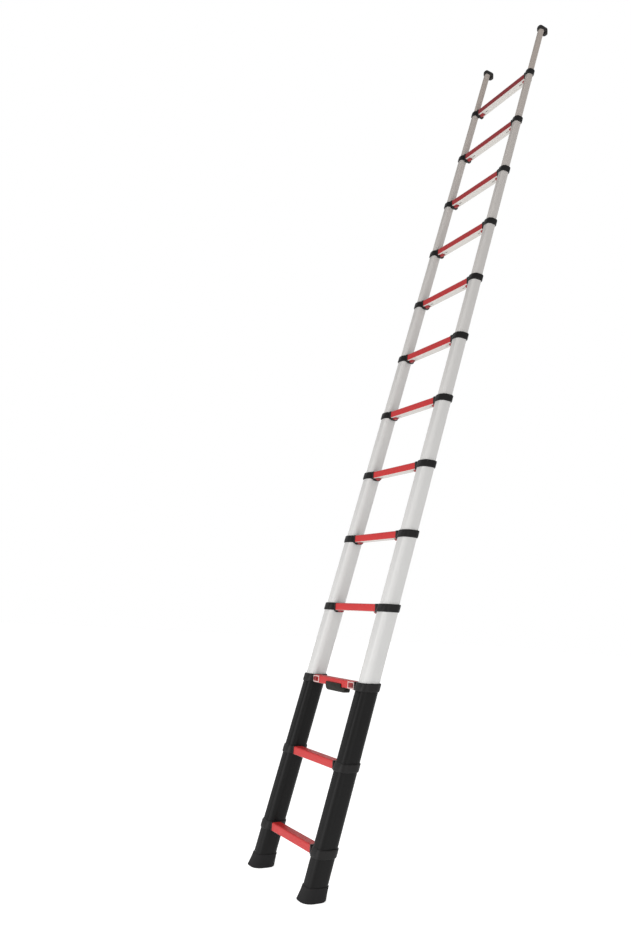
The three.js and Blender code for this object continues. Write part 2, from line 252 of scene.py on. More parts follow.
class Paint:
    """A material under construction, with its Principled shader."""

    def __init__(self, name: str) -> None:
        """Starts a material with nothing but its shader and its output."""
        self.material = bpy.data.materials.new(name)
        self.material.use_nodes = True
        self.tree = self.material.node_tree
        self.surface = next(n for n in self.tree.nodes if n.type == "BSDF_PRINCIPLED")

    def node(
        self,
        kind: str,
        settings: Optional[dict[str, object]] = None,
        inputs: Optional[dict[Union[str, int], object]] = None,
        output: Union[str, int] = 0,
    ) -> Wire:
        """Adds a shader node.

        Args:
            kind: Blender's name of the node's type.
            settings: what is set on the node itself.
            inputs: a value or a wire for each socket that is named or counted.
            output: the socket that the result comes from.

        Returns:
            The wire from that socket.
        """
        made = self.tree.nodes.new(kind)
        for key, value in (settings or {}).items():
            setattr(made, key, value)
        for key, value in (inputs or {}).items():
            if isinstance(value, Wire):
                self.tree.links.new(value.socket, made.inputs[key])
            else:
                made.inputs[key].default_value = value
        return Wire(self, made.outputs[output])

    def place(self) -> Wire:
        """The point on the surface, in the object's own coordinates."""
        return self.node("ShaderNodeTexCoord", output="Object")

    def along_stile(self, squeeze: float) -> Wire:
        """The point on the surface with the stile upright, and squeezed along the stile's length.

        Args:
            squeeze: what the length along the stile is multiplied by.

        Returns:
            The changed point.
        """
        return self.node(
            "ShaderNodeMapping",
            {"vector_type": "POINT"},
            {"Vector": self.place(), "Rotation": (LEAN, 0.0, 0.0), "Scale": (1.0, 1.0, squeeze)},
        )

    def noise(self, place: Wire, scale: float, detail: float = 2.0, roughness: float = 0.5) -> Wire:
        """Smooth noise from 0 to 1.

        Args:
            place: where the noise is read.
            scale: how many of its lumps there are to a metre.
            detail: how many finer layers it has.
            roughness: how strong those are.

        Returns:
            The noise.
        """
        sockets = {"Vector": place, "Scale": scale, "Detail": detail, "Roughness": roughness}
        return self.node("ShaderNodeTexNoise", {}, sockets)

    def blend(self, share: Number, first: object, second: object) -> Wire:
        """A colour that goes from the first to the second as the share goes from 0 to 1."""
        mixing = {"data_type": "RGBA", "blend_type": "MIX"}
        return self.node("ShaderNodeMix", mixing, {0: share, 6: first, 7: second}, output=2)

    def bump(self, height: Wire, depth: float) -> Wire:
        """A normal that follows a height from 0 to 1, times a depth in metres."""
        sockets = {"Height": height, "Distance": depth, "Strength": 1.0}
        return self.node("ShaderNodeBump", {}, sockets, output="Normal")

    def set(self, socket: str, value: object) -> None:
        """Gives one of the shader's sockets a wire or a constant."""
        if isinstance(value, Wire):
            self.tree.links.new(value.socket, self.surface.inputs[socket])
        else:
            self.surface.inputs[socket].default_value = value


def opaque(colour: Colour) -> tuple[float, float, float, float]:
    """The colour with an alpha of 1."""
    return (*colour, 1.0)


@dataclass(frozen=True)
class Finish:
    """A surface finish. Each kind of finish adds a relief and a blotch pattern of its own."""

    name: str
    colour: Colour
    roughness: float
    metallic: float = 0.0
    specular: float = 0.5
    coat: float = 0.0
    wander: float = 0.08  # share by which the colour wanders over the piece
    rough_wander: float = 0.06
    patch: float = 9.0  # blotches to a metre
    depth: float = 0.02 * MM  # of the relief

    def relief(self, paint: Paint) -> Wire:
        """The height of the finish's own texture, from 0 to 1."""
        return paint.noise(paint.place(), 900.0, 3.0)

    def blotch(self, paint: Paint) -> Wire:
        """Where the colour wanders, from 0 to 1."""
        return paint.noise(paint.place(), self.patch, 3.0)

    def paint(self) -> bpy.types.Material:
        """Builds the material.

        Returns:
            The finished material.
        """
        paint = Paint(self.name)
        blotch = self.blotch(paint)
        relief = self.relief(paint)
        dark = opaque(tuple(channel * (1 - self.wander) for channel in self.colour))
        light = opaque(tuple(min(channel * (1 + self.wander), 1.0) for channel in self.colour))
        paint.set("Base Color", paint.blend(blotch * 0.7 + relief * 0.3, dark, light))
        spread = (blotch - 0.5) * self.rough_wander + (relief - 0.5) * self.rough_wander
        paint.set("Roughness", spread + self.roughness)
        paint.set("Normal", paint.bump(relief, self.depth))
        paint.set("Metallic", self.metallic)
        paint.set("Specular IOR Level", self.specular)
        paint.set("Coat Weight", self.coat)
        return paint.material


@dataclass(frozen=True)
class Extruded(Finish):
    """Anodised extrusion, with fine die lines along the stile."""

    lines: float = 700.0  # to a metre across the tube
    stretch: float = 0.004  # a line's length along the stile, as a share of its width

    def relief(self, paint: Paint) -> Wire:
        """Fine lines along the stile over a faint etched grain."""
        lines = paint.noise(paint.along_stile(self.stretch), self.lines, 4.0, 0.6)
        return lines * 0.8 + paint.noise(paint.place(), 1500.0, 1.0) * 0.2

    def blotch(self, paint: Paint) -> Wire:
        """Long soft bands along the stile, with a few wider clouds."""
        bands = paint.noise(paint.along_stile(0.05), 60.0, 2.0)
        return bands * 0.6 + paint.noise(paint.place(), self.patch, 2.0) * 0.4


@dataclass(frozen=True)
class Coated(Finish):
    """Powder coat, with a faint orange peel and a few dull scuffs."""

    peel: float = 420.0

    def relief(self, paint: Paint) -> Wire:
        """Orange peel with a finer grain on it."""
        return paint.noise(paint.place(), self.peel, 1.0) * 0.75 + paint.noise(paint.place(), 1600.0, 1.0) * 0.25


@dataclass(frozen=True)
class Moulded(Finish):
    """Moulded plastic or rubber, with an even spark-eroded grain."""

    grain: float = 1100.0

    def relief(self, paint: Paint) -> Wire:
        """Even fine grain."""
        cells = {"Vector": paint.place(), "Scale": self.grain, "Randomness": 1.0}
        return paint.node("ShaderNodeTexVoronoi", {}, cells, output="Distance")


@dataclass(frozen=True)
class Turned(Finish):
    """Turned steel, with rings round the X axis."""

    def relief(self, paint: Paint) -> Wire:
        """Fine rings along X."""
        squashed = {"Vector": paint.place(), "Scale": (1.0, 0.01, 0.01)}
        return paint.noise(paint.node("ShaderNodeMapping", {}, squashed), 3000.0, 2.0)


def between(low: Colour, high: Colour, share: float) -> Colour:
    """The colour that is this share of the way from the low one to the high one."""
    return tuple(first + (last - first) * share for first, last in zip(low, high))


# The silver of the lowest sliding tube and of the top tubes: the higher tubes are painted darker and warmer, as
# painted shade for the light that falls off with height.
LOW_SILVER: Colour = (0.635, 0.63, 0.62)
HIGH_SHADED_SILVER: Colour = (0.47, 0.415, 0.375)


def silver(step: int) -> Extruded:
    """The anodised finish of a sliding tube, painted darker and warmer the higher the tube is, as painted shade.

    Args:
        step: 0 for the lowest sliding tube, and one more for each tube above it, up to the top tubes.

    Returns:
        The finish.
    """
    # darker and warmer with each tube up: painted shade for the light that falls off with height
    colour = between(LOW_SILVER, HIGH_SHADED_SILVER, (step / (RUNGS - FIXED_RUNGS)) ** 2)
    name = f"silver_anodised_{step:02d}"
    return Extruded(name, colour, 0.62, metallic=0.12, specular=0.25, wander=0.025, depth=0.003 * MM)


# The powder coat of the lowest rung and of the highest; the higher rungs are painted darker, as painted shade for the
# light that falls off with height.
LOW_RED: Colour = (0.50, 0.024, 0.024)
HIGH_SHADED_RED: Colour = (0.215, 0.024, 0.028)


def height_shaded_red_coat(number: int) -> Coated:
    """The powder coat of a rung, painted darker the higher the rung is, as painted shade.

    Args:
        number: the rung, counted from 1 at the bottom.

    Returns:
        The finish.
    """
    # darker with each rung up: painted shade for the light that falls off with height
    colour = between(LOW_RED, HIGH_SHADED_RED, ((number - 1) / (RUNGS - 1)) ** 2)
    return Coated(f"red_powder_coat_{number:02d}", colour, 0.42, specular=0.3, wander=0.06)


BLACK_ANODISED = Extruded("black_anodised", (0.0036, 0.0034, 0.0034), 0.5, specular=0.2, wander=0.2, depth=0.015 * MM)
BARE_ALUMINIUM = Extruded("bare_aluminium", (0.55, 0.53, 0.5), 0.55, metallic=0.3, wander=0.03, depth=0.003 * MM)
BLACK_NYLON = Moulded("black_nylon", (0.0085, 0.008, 0.008), 0.5, specular=0.24, wander=0.15, depth=0.03 * MM)
PALE_NYLON = Moulded("pale_nylon", (0.62, 0.47, 0.45), 0.45, wander=0.03)
RED_NYLON = Moulded("red_nylon", (0.24, 0.02, 0.022), 0.4, specular=0.3, wander=0.05)
GRIP_NYLON = Moulded(
    "grip_nylon", (0.0085, 0.0078, 0.0045), 0.55, specular=0.22, wander=0.15, depth=0.05 * MM, grain=800.0
)
FOOT_RUBBER = Moulded("foot_rubber", (0.013, 0.0125, 0.013), 0.72, specular=0.2, wander=0.14, depth=0.06 * MM)
CAP_RUBBER = Moulded("cap_rubber", (0.018, 0.0165, 0.0155), 0.6, specular=0.3, wander=0.15, depth=0.05 * MM)
PIN_STEEL = Turned("turned_steel", (0.6, 0.6, 0.6), 0.28, metallic=1.0, wander=0.04)


class Finishes:
    """The materials, each built once."""

    def __init__(self) -> None:
        """Starts with none built."""
        self.built: dict[str, bpy.types.Material] = {}

    def get(self, finish: Finish) -> bpy.types.Material:
        """The material of a finish."""
        if finish.name not in self.built:
            self.built[finish.name] = finish.paint()
        return self.built[finish.name]


FINISHES = Finishes()


# ---- Shapes ----

Loop = list[bmesh.types.BMEdge]
HELD_APART = Vector((0, 0, 1))
CORNER_STEPS = 9
FLAT_NORMALS = [
    Vector((1, 0, 0)),
    Vector((0, 1, 0)),
    Vector((0, 0, 1)),
    Vector((0, math.cos(LEAN), -math.sin(LEAN))),
]


class Shape:
    """A mesh under construction, in metres."""

    def __init__(self) -> None:
        """Starts with an empty mesh."""
        self.mesh = bmesh.new()

    # -- shapes that follow a stile --

    def outline(self, section: Section, height: float, shift: float = 0.0) -> Loop:
        """Draws the outline of a section.

        Args:
            section: the outline, square to the stile.
            height: its Z.
            shift: how far it is moved along Y.

        Returns:
            Its edges.
        """
        sheet = bmesh.ops.create_grid(self.mesh, x_segments=1, y_segments=1, size=0.5)["verts"]
        bmesh.ops.scale(self.mesh, vec=(section.width, section.depth, 1), verts=sheet)
        bmesh.ops.translate(self.mesh, vec=(0, shift, height), verts=sheet)
        rounded = bmesh.ops.bevel(
            self.mesh, geom=sheet, offset=section.radius, segments=CORNER_STEPS,
            profile=0.5, affect="VERTICES", material=-1,
        )
        face = rounded["verts"][0].link_faces[0]
        edges = list(face.edges)
        bmesh.ops.delete(self.mesh, geom=[face], context="FACES_ONLY")
        return edges

    def bridge(self, one: Loop, other: Loop) -> None:
        """Joins two outlines with faces. They're held apart meanwhile, or two at one height could join twisted."""
        points = list({vert for edge in other for vert in edge.verts})
        bmesh.ops.translate(self.mesh, vec=HELD_APART, verts=points)
        bmesh.ops.bridge_loops(self.mesh, edges=one + other)
        bmesh.ops.translate(self.mesh, vec=-HELD_APART, verts=points)

    def skin(self, loops: Sequence[Loop], closed: bool = False) -> None:
        """Stretches faces between neighbouring outlines.

        Args:
            loops: the outlines, in order.
            closed: whether the last one meets the first. If not, both ends are capped.
        """
        for one, other in zip(loops, loops[1:]):
            self.bridge(one, other)
        if closed:
            self.bridge(loops[-1], loops[0])
        else:
            bmesh.ops.edgeloop_fill(self.mesh, edges=loops[0])
            bmesh.ops.edgeloop_fill(self.mesh, edges=loops[-1])

    def lean(self, x: float) -> None:
        """Leans what was drawn upright over the floor's origin, keeping level faces level, and moves it to x."""
        shear = Matrix.Identity(4)
        shear[1][2] = math.tan(LEAN)
        stretch = Matrix.Diagonal((1, 1 / math.cos(LEAN), 1, 1))
        place = Matrix.Translation((x, 0, 0)) @ shear @ stretch
        bmesh.ops.transform(self.mesh, matrix=place, verts=self.mesh.verts)

    # -- upright shapes --

    def prism(self, corners: Sequence[Vector], along: Vector) -> None:
        """Draws a flat outline and extrudes it.

        Args:
            corners: the outline's corners.
            along: the extrusion.
        """
        face = self.mesh.faces.new([self.mesh.verts.new(corner) for corner in corners])
        self.push([face], along)

    def push(self, faces: Sequence[bmesh.types.BMFace], along: Vector) -> None:
        """Extrudes faces by a vector.

        Args:
            faces: a lone sheet, which becomes a solid, or faces of a solid, which leave nothing behind.
            along: the extrusion.
        """
        on_solid = all(edge.is_manifold for face in faces for edge in face.edges)
        grown = bmesh.ops.extrude_face_region(self.mesh, geom=list(faces))["geom"]
        moved = [item for item in grown if isinstance(item, bmesh.types.BMVert)]
        bmesh.ops.translate(self.mesh, vec=along, verts=moved)
        if on_solid:
            left = [face for face in faces if face.is_valid]
            bmesh.ops.delete(self.mesh, geom=left, context="FACES_ONLY")

    def block(self, low: Vector, high: Vector) -> None:
        """A box between two corners."""
        size = high - low
        place = Matrix.Translation((low + high) / 2) @ Matrix.Diagonal((*size, 1))
        bmesh.ops.create_cube(self.mesh, size=1, matrix=place)

    def split(self, point: Vector, normal: Vector, faces: Iterable[bmesh.types.BMFace]) -> None:
        """Cuts faces along a plane, and leaves them joined."""
        chosen = set(faces)
        edges = {edge for face in chosen for edge in face.edges}
        corners = {corner for face in chosen for corner in face.verts}
        geometry = [*chosen, *edges, *corners]
        bmesh.ops.bisect_plane(self.mesh, geom=geometry, plane_co=point, plane_no=normal)

    def facing(self, normal: Vector) -> list[bmesh.types.BMFace]:
        """The faces that face one way."""
        self.mesh.normal_update()
        return [face for face in self.mesh.faces if face.normal.dot(normal) > 0.999]

    # -- finishing --

    def crisp_edges(self, least: float = math.radians(30)) -> Loop:
        """The edges between faces that meet at more than an angle."""
        self.mesh.normal_update()
        return [e for e in self.mesh.edges if e.is_manifold and e.calc_face_angle() > least]

    def round_off(self, radius: float, steps: int = 3, edges: Optional[Loop] = None) -> None:
        """Rounds edges off.

        Args:
            radius: of the rounding.
            steps: how many faces it has.
            edges: which edges, or all crisp ones.
        """
        bmesh.ops.recalc_face_normals(self.mesh, faces=self.mesh.faces)
        bmesh.ops.bevel(
            self.mesh, geom=self.crisp_edges() if edges is None else edges, offset=radius, segments=steps,
            profile=0.5, affect="EDGES", clamp_overlap=True, material=-1,
        )

    def finish(
        self, name: str, body: str, slot: Slot, finishes: Sequence[Finish], replaces: Sequence[str] = ()
    ) -> bpy.types.Object:
        """Turns the mesh into a dressed piece that rides on a body.

        Args:
            name: the piece's name.
            body: the CAD body that it moves with.
            slot: the record's material slot; not used.
            finishes: its finishes, in the order of the faces' material numbers.
            replaces: the CAD nodes that it stands for.

        Returns:
            The piece.
        """
        bmesh.ops.remove_doubles(self.mesh, verts=self.mesh.verts, dist=1e-6)
        bmesh.ops.recalc_face_normals(self.mesh, faces=self.mesh.faces)
        for face in self.mesh.faces:
            face.smooth = not any(abs(face.normal.dot(flat)) > 0.9998 for flat in FLAT_NORMALS)
        data = bpy.data.meshes.new(name)
        self.mesh.to_mesh(data)
        self.mesh.free()
        for finish in finishes:
            data.materials.append(FINISHES.get(finish))
        data.set_sharp_from_angle(angle=SMOOTH_BELOW)
        piece = bpy.data.objects.new(name, data)
        bpy.context.scene.collection.objects.link(piece)
        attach(piece, body)
        if replaces:
            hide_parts(*replaces)
        LOG.info("%s rides on %s with %d faces", name, body, len(data.polygons))
        return piece


def round_rim(outer: float, low: float, high: float, radius: float, steps: int = 4) -> list[tuple[float, float]]:
    """The outer side of a band with round edges, from its bottom to its top.

    Args:
        outer: how far the band's outer wall is from its tube's.
        low: its lowest Z.
        high: its highest Z.
        radius: of its edges.
        steps: how many points each quarter has after its first.

    Returns:
        Pairs of distance and height.
    """
    angles = [math.pi / 2 * step / steps for step in range(steps + 1)]
    lower = [(outer - radius * (1 - math.sin(a)), low + radius * (1 - math.cos(a))) for a in angles]
    upper = [(outer - radius * (1 - math.cos(a)), high - radius * (1 - math.sin(a))) for a in angles]
    return lower + upper


# ---- Stile tubes ----


@dataclass(frozen=True)
class StileTube:
    """One hollow tube of a stile, with its two ends cut level."""

    node: str
    side: Side
    body: str
    slot: Slot
    finish: Finish
    wall: float = TUBE_WALL
    rim: float = 0.4 * MM

    def build(self) -> bpy.types.Object:
        """The tube, with its sharp rims taken off.

        Returns:
            The piece.
        """
        section = Section.of(self.node)
        low, high = (corner.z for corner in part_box(self.node))
        wall_line = [
            (-self.rim, low), (0.0, low + self.rim), (0.0, high - self.rim), (-self.rim, high),
            (self.rim - self.wall, high), (-self.wall, high - self.rim),
            (-self.wall, low + self.rim), (self.rim - self.wall, low),
        ]
        shape = Shape()
        shape.skin([shape.outline(section.grown(d), z) for d, z in wall_line], closed=True)
        shape.lean(stile_x(self.side))
        name = "stile_" + self.node
        return shape.finish(name, self.body, self.slot, [self.finish], [self.node])


# ---- Collars ----


@dataclass(frozen=True)
class Collar:
    """A moulded collar round the top of a tube, with the flange that takes the rung's end."""

    place: RungPlace
    side: Side
    height: float = 29.94 * MM
    edge: float = 2.4 * MM
    lip: float = 3.0 * MM
    lip_gap: float = 0.35 * MM
    bead: float = 1.0 * MM  # height of the fine step round its top and bottom edge
    bead_depth: float = 0.5 * MM
    flange_drop: float = 8.2 * MM  # of the flange below the rung
    flange_margin: float = 1.4 * MM  # of the flange in front of and behind the rung
    flange_root: float = 1.0 * MM  # of the flange inside the band
    flange_edge: float = 1.1 * MM

    @property
    def name(self) -> str:
        """The end of its pieces' names."""
        return f"{self.place.number:02d}_{self.side.label}"

    def band(self) -> bpy.types.Object:
        """The band round the tube, with a lip over the tube's end where another one slides in it.

        Returns:
            The piece.
        """
        number = self.place.number
        own = Section.of(own_tube(number))
        top = self.place.collar_top
        bottom = top - self.height
        profile = round_rim(COLLAR_PROUD - self.bead_depth, bottom, top, self.edge)
        middle = len(profile) // 2
        step_low = bottom + self.edge + self.bead
        step_high = top - self.edge - self.bead
        proud = [
            (COLLAR_PROUD - self.bead_depth, step_low), (COLLAR_PROUD, step_low + self.bead_depth),
            (COLLAR_PROUD, step_high - self.bead_depth), (COLLAR_PROUD - self.bead_depth, step_high),
        ]
        profile[middle:middle] = proud
        if number < FIXED_RUNGS:
            profile += [(FIT, top), (FIT, bottom)]
        else:
            inner = (Section.of(next_tube(number)).width - own.width) / 2 + self.lip_gap
            profile += [(inner, top), (inner, top - self.lip), (FIT, top - self.lip), (FIT, bottom)]
        shape = Shape()
        shape.skin([shape.outline(own.grown(d), z) for d, z in profile], closed=True)
        shape.lean(stile_x(self.side))
        replaced = [f"collar_{self.name}"] if number <= FIXED_RUNGS else []
        return shape.finish(f"collar_band_{self.name}", body_of(number), Slot.BLACK_PLASTIC, [BLACK_NYLON], replaced)

    def flange(self) -> bpy.types.Object:
        """The flange on the collar's inner side, which tapers below the rung.

        Returns:
            The piece.
        """
        place = self.place
        drop = self.flange_drop if place.number > FIXED_RUNGS else self.flange_margin
        front = place.front - self.flange_margin
        back = place.back + self.flange_margin
        top = place.collar_top - self.bead_depth
        knee = place.bottom - self.flange_margin / 2
        outline = [(front, knee), (front, top), (back, top), (back, knee)]
        if drop > self.flange_margin:
            outline += [(back - drop / 2, place.bottom - drop), (front + drop * 1.5, place.bottom - drop)]
        root = self.side.value * (place.end + self.flange_root)
        tip = self.side.value * place.flange_tip
        shape = Shape()
        shape.prism([Vector((root, y, z)) for y, z in outline], Vector((tip - root, 0, 0)))
        shape.round_off(self.flange_edge)
        return shape.finish(f"rung_flange_{self.name}", body_of(place.number), Slot.BLACK_PLASTIC, [BLACK_NYLON])

    def build(self) -> list[bpy.types.Object]:
        """The band and the flange."""
        return [self.band(), self.flange()]


# ---- Rungs ----


@dataclass(frozen=True)
class Rung:
    """A coated rung with a ribbed tread and a bare underside, and a trip tab under each end if it slides."""

    place: RungPlace
    nose: float = 4.5 * MM  # radius of the tread's front edge
    corner: float = 2.2 * MM
    ribs: int = 9
    rib_height: float = 0.4 * MM
    rib_share: float = 0.7  # of the tread's width that is rib
    tread_margin: float = 5.0 * MM
    slot_width: float = 5.0 * MM
    slot_length: float = 18.0 * MM
    slot_from_end: float = 45.0 * MM
    slot_depth: float = 14.0 * MM
    tab_length: float = 22.0 * MM
    tab_base: float = 11.0 * MM
    tab_tip: float = 6.0 * MM
    tab_height: float = 7.5 * MM
    tab_edge: float = 0.9 * MM

    @property
    def half_length(self) -> float:
        """Half of what shows between the flanges."""
        return self.place.flange_tip - FIT

    def bar(self) -> bpy.types.Object:
        """The rung itself.

        Returns:
            The piece.
        """
        shape = Shape()
        half = self.half_length
        tread = self.place.top - self.rib_height
        shape.block(Vector((-half, self.place.front, self.place.bottom)), Vector((half, self.place.back, tread)))
        self.round_long_edges(shape)
        self.add_ribs(shape, tread)
        for face in shape.mesh.faces:
            face.material_index = int(face.normal.z < -0.5)
        self.cut_drains(shape)
        replaced = [f"rung_{self.place.number:02d}"]
        name = f"tread_bar_{self.place.number:02d}"
        # the red is painted darker on higher rungs, as painted shade
        finishes = [height_shaded_red_coat(self.place.number), BARE_ALUMINIUM]
        return shape.finish(name, body_of(self.place.number), Slot.RED_RUNG, finishes, replaced)

    def round_long_edges(self, shape: Shape) -> None:
        """Rounds the tread's front edge wide and the other three long edges less."""
        for nosing in (True, False):
            edges = []
            for edge in shape.crisp_edges():
                middle = (edge.verts[0].co + edge.verts[1].co) / 2
                runs_along = abs(edge.verts[0].co.x - edge.verts[1].co.x) > self.half_length
                upper_front = middle.y < self.place.front + self.corner and middle.z > self.place.top - self.corner
                if runs_along and upper_front == nosing:
                    edges.append(edge)
            shape.round_off(self.nose if nosing else self.corner, 5, edges)

    def add_ribs(self, shape: Shape, tread: float) -> None:
        """Raises the ribs of the tread."""
        first = self.place.front + self.tread_margin
        pitch = (self.place.back - first - self.tread_margin / 2) / self.ribs
        starts = [first + pitch * count for count in range(self.ribs)]
        cuts = [y for start in starts for y in (start, start + pitch * self.rib_share)]
        for y in cuts:
            shape.split(Vector((0, y, 0)), Vector((0, 1, 0)), shape.facing(Vector((0, 0, 1))))
        ribs = [
            face for face in shape.facing(Vector((0, 0, 1)))
            if any(start < face.calc_center_median().y < start + pitch * self.rib_share for start in starts)
        ]
        for rib in ribs:
            shape.push([rib], Vector((0, 0, self.rib_height)))

    def cut_drains(self, shape: Shape) -> None:
        """Sinks the two drain slots into the underside."""
        middle = (self.place.front + self.place.back) / 2
        down = Vector((0, 0, -1))
        for side in Side:
            centre = side.value * (self.place.end - self.slot_from_end - self.slot_length / 2)
            for x in (centre - self.slot_length / 2, centre + self.slot_length / 2):
                shape.split(Vector((x, 0, 0)), Vector((1, 0, 0)), shape.facing(down))
            for y in (middle - self.slot_width / 2, middle + self.slot_width / 2):
                shape.split(Vector((0, y, 0)), Vector((0, 1, 0)), self.above_slot(shape, centre))
            mouth = [
                face for face in self.above_slot(shape, centre)
                if abs(face.calc_center_median().y - middle) < self.slot_width / 2
            ]
            shape.push(mouth, Vector((0, 0, self.slot_depth)))

    def above_slot(self, shape: Shape, centre: float) -> list[bmesh.types.BMFace]:
        """The underside's faces that lie within a drain slot's length."""
        under = shape.facing(Vector((0, 0, -1)))
        return [face for face in under if abs(face.calc_center_median().x - centre) < self.slot_length / 2]

    def tab(self, side: Side) -> bpy.types.Object:
        """The trip tab under one end, which the rung below pushes as the ladder closes.

        Args:
            side: which end.

        Returns:
            The piece.
        """
        place = self.place
        low = place.bottom - self.tab_height
        middle = (place.front + place.back) / 2
        wedge = [
            (middle - self.tab_base, place.bottom), (middle - self.tab_tip / 2, low),
            (middle + self.tab_tip, low), (middle + self.tab_base, place.bottom),
        ]
        outer = side.value * self.half_length
        shape = Shape()
        shape.prism([Vector((outer, y, z)) for y, z in wedge], Vector((-side.value * self.tab_length, 0, 0)))
        shape.round_off(self.tab_edge)
        name = f"trip_tab_{place.number:02d}_{side.label}"
        return shape.finish(name, body_of(place.number), Slot.RED_PLASTIC, [RED_NYLON])

    def build(self) -> list[bpy.types.Object]:
        """The bar, and the tabs of a sliding rung."""
        tabs = [self.tab(side) for side in Side] if self.place.number > FIXED_RUNGS else []
        return [self.bar(), *tabs]


# ---- The latch on the top fixed rung ----


@dataclass(frozen=True)
class Latch:
    """A release button in its pale bezel, with the pin that it draws out of the stile."""

    side: Side
    bezel_border: float = 3.4 * MM
    bezel_edge: float = 0.8 * MM
    button_edge: float = 1.4 * MM
    button_ribs: int = 3
    rib_width: float = 1.6 * MM
    rib_height: float = 0.5 * MM
    pin_chamfer: float = 0.8 * MM
    pin_steps: int = 40

    def bezel(self) -> bpy.types.Object:
        """The frame round the button.

        Returns:
            The piece.
        """
        node = f"button_frame_{self.side.label}"
        low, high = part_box(node)
        shape = Shape()
        rims = []
        for border in (0.0, self.bezel_border):
            left, right = low.x + border, high.x - border
            bottom, top = low.z + border, high.z - border
            corners = [(left, bottom), (right, bottom), (right, top), (left, top)]
            points = [shape.mesh.verts.new((x, low.y, z)) for x, z in corners]
            rims += [shape.mesh.edges.new(pair) for pair in zip(points, points[1:] + points[:1])]
        bmesh.ops.bridge_loops(shape.mesh, edges=rims)
        shape.push(list(shape.mesh.faces), Vector((0, high.y - low.y, 0)))
        shape.round_off(self.bezel_edge)
        return shape.finish(f"button_bezel_{self.side.label}", "base", Slot.PALE_PLASTIC, [PALE_NYLON], [node])

    def button(self) -> bpy.types.Object:
        """The button, with finger ribs on its face.

        Returns:
            The piece.
        """
        node = f"release_button_{self.side.label}"
        low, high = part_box(node)
        shape = Shape()
        shape.block(Vector((low.x, low.y + self.rib_height, low.z)), high)
        front = Vector((0, -1, 0))
        pitch = (high.x - low.x) / (self.button_ribs + 1)
        starts = [low.x + pitch * (count + 1) - self.rib_width / 2 for count in range(self.button_ribs)]
        shape.round_off(self.button_edge)
        for x in [edge for start in starts for edge in (start, start + self.rib_width)]:
            shape.split(Vector((x, 0, 0)), Vector((1, 0, 0)), shape.facing(front))
        for face in shape.facing(front):
            if any(start < face.calc_center_median().x < start + self.rib_width for start in starts):
                shape.push([face], front * self.rib_height)
        name = f"push_button_{self.side.label}"
        return shape.finish(name, f"release_{self.side.label}", Slot.RED_PLASTIC, [RED_NYLON], [node])

    def pin(self) -> bpy.types.Object:
        """The steel pin, with chamfered ends.

        Returns:
            The piece.
        """
        node = f"lock_pin_{self.side.label}"
        low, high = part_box(node)
        radius = (high.z - low.z) / 2
        shape = Shape()
        place = Matrix.Translation((low + high) / 2) @ Matrix.Rotation(math.pi / 2, 4, "Y")
        bmesh.ops.create_cone(
            shape.mesh, cap_ends=True, segments=self.pin_steps, radius1=radius, radius2=radius,
            depth=high.x - low.x, matrix=place,
        )
        shape.round_off(self.pin_chamfer, 2)
        name = f"latch_pin_{self.side.label}"
        return shape.finish(name, f"release_{self.side.label}", Slot.PIN_STEEL, [PIN_STEEL], [node])

    def build(self) -> list[bpy.types.Object]:
        """The bezel, the button and the pin."""
        return [self.bezel(), self.button(), self.pin()]


# ---- Hand grip ----


@dataclass(frozen=True)
class CarryGrip:
    """The moulded grip under the top fixed rung, with a lip up part of the rung's front."""

    lip_end: float = 60.0 * MM  # X of the lip's end, short of the grip's own
    start: float = 10.0 * MM  # of the lip and the body from the low end of its room
    low_round: float = 19.0 * MM
    far_round: float = 9.0 * MM
    lip_round: float = 5.0 * MM
    face: float = 4.5 * MM
    edge: float = 1.8 * MM
    steps: int = 6

    def build(self) -> bpy.types.Object:
        """The grip.

        Returns:
            The piece.
        """
        low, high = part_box("hand_grip")
        under = RungPlace.of(FIXED_RUNGS).bottom - FIT
        shape = Shape()
        near = low.x + self.start
        corners = [
            (near, low.z), (high.x, low.z), (high.x, under), (self.lip_end, under),
            (self.lip_end, high.z), (near, high.z),
        ]
        rounds = [self.low_round, self.far_round, self.lip_round, 0.0, self.lip_round, self.lip_round]
        points = [shape.mesh.verts.new((x, low.y, z)) for x, z in corners]
        shape.mesh.faces.new(points)
        for point, radius in zip(points, rounds):
            if radius:
                bmesh.ops.bevel(
                    shape.mesh, geom=[point], offset=radius, segments=self.steps,
                    profile=0.5, affect="VERTICES", material=-1,
                )
        shape.push(list(shape.mesh.faces), Vector((0, self.face, 0)))
        bmesh.ops.recalc_face_normals(shape.mesh, faces=shape.mesh.faces)
        wall_side = Vector((0, 1, 0))
        shape.split(Vector((0, 0, under)), Vector((0, 0, 1)), shape.facing(wall_side))
        body = [face for face in shape.facing(wall_side) if face.calc_center_median().z < under]
        shape.push(body, Vector((0, high.y - low.y - self.face, 0)))
        shape.round_off(self.edge)
        return shape.finish("carry_grip", "base", Slot.GRIP_PLASTIC, [GRIP_NYLON], ["hand_grip"])


# ---- Feet and caps ----


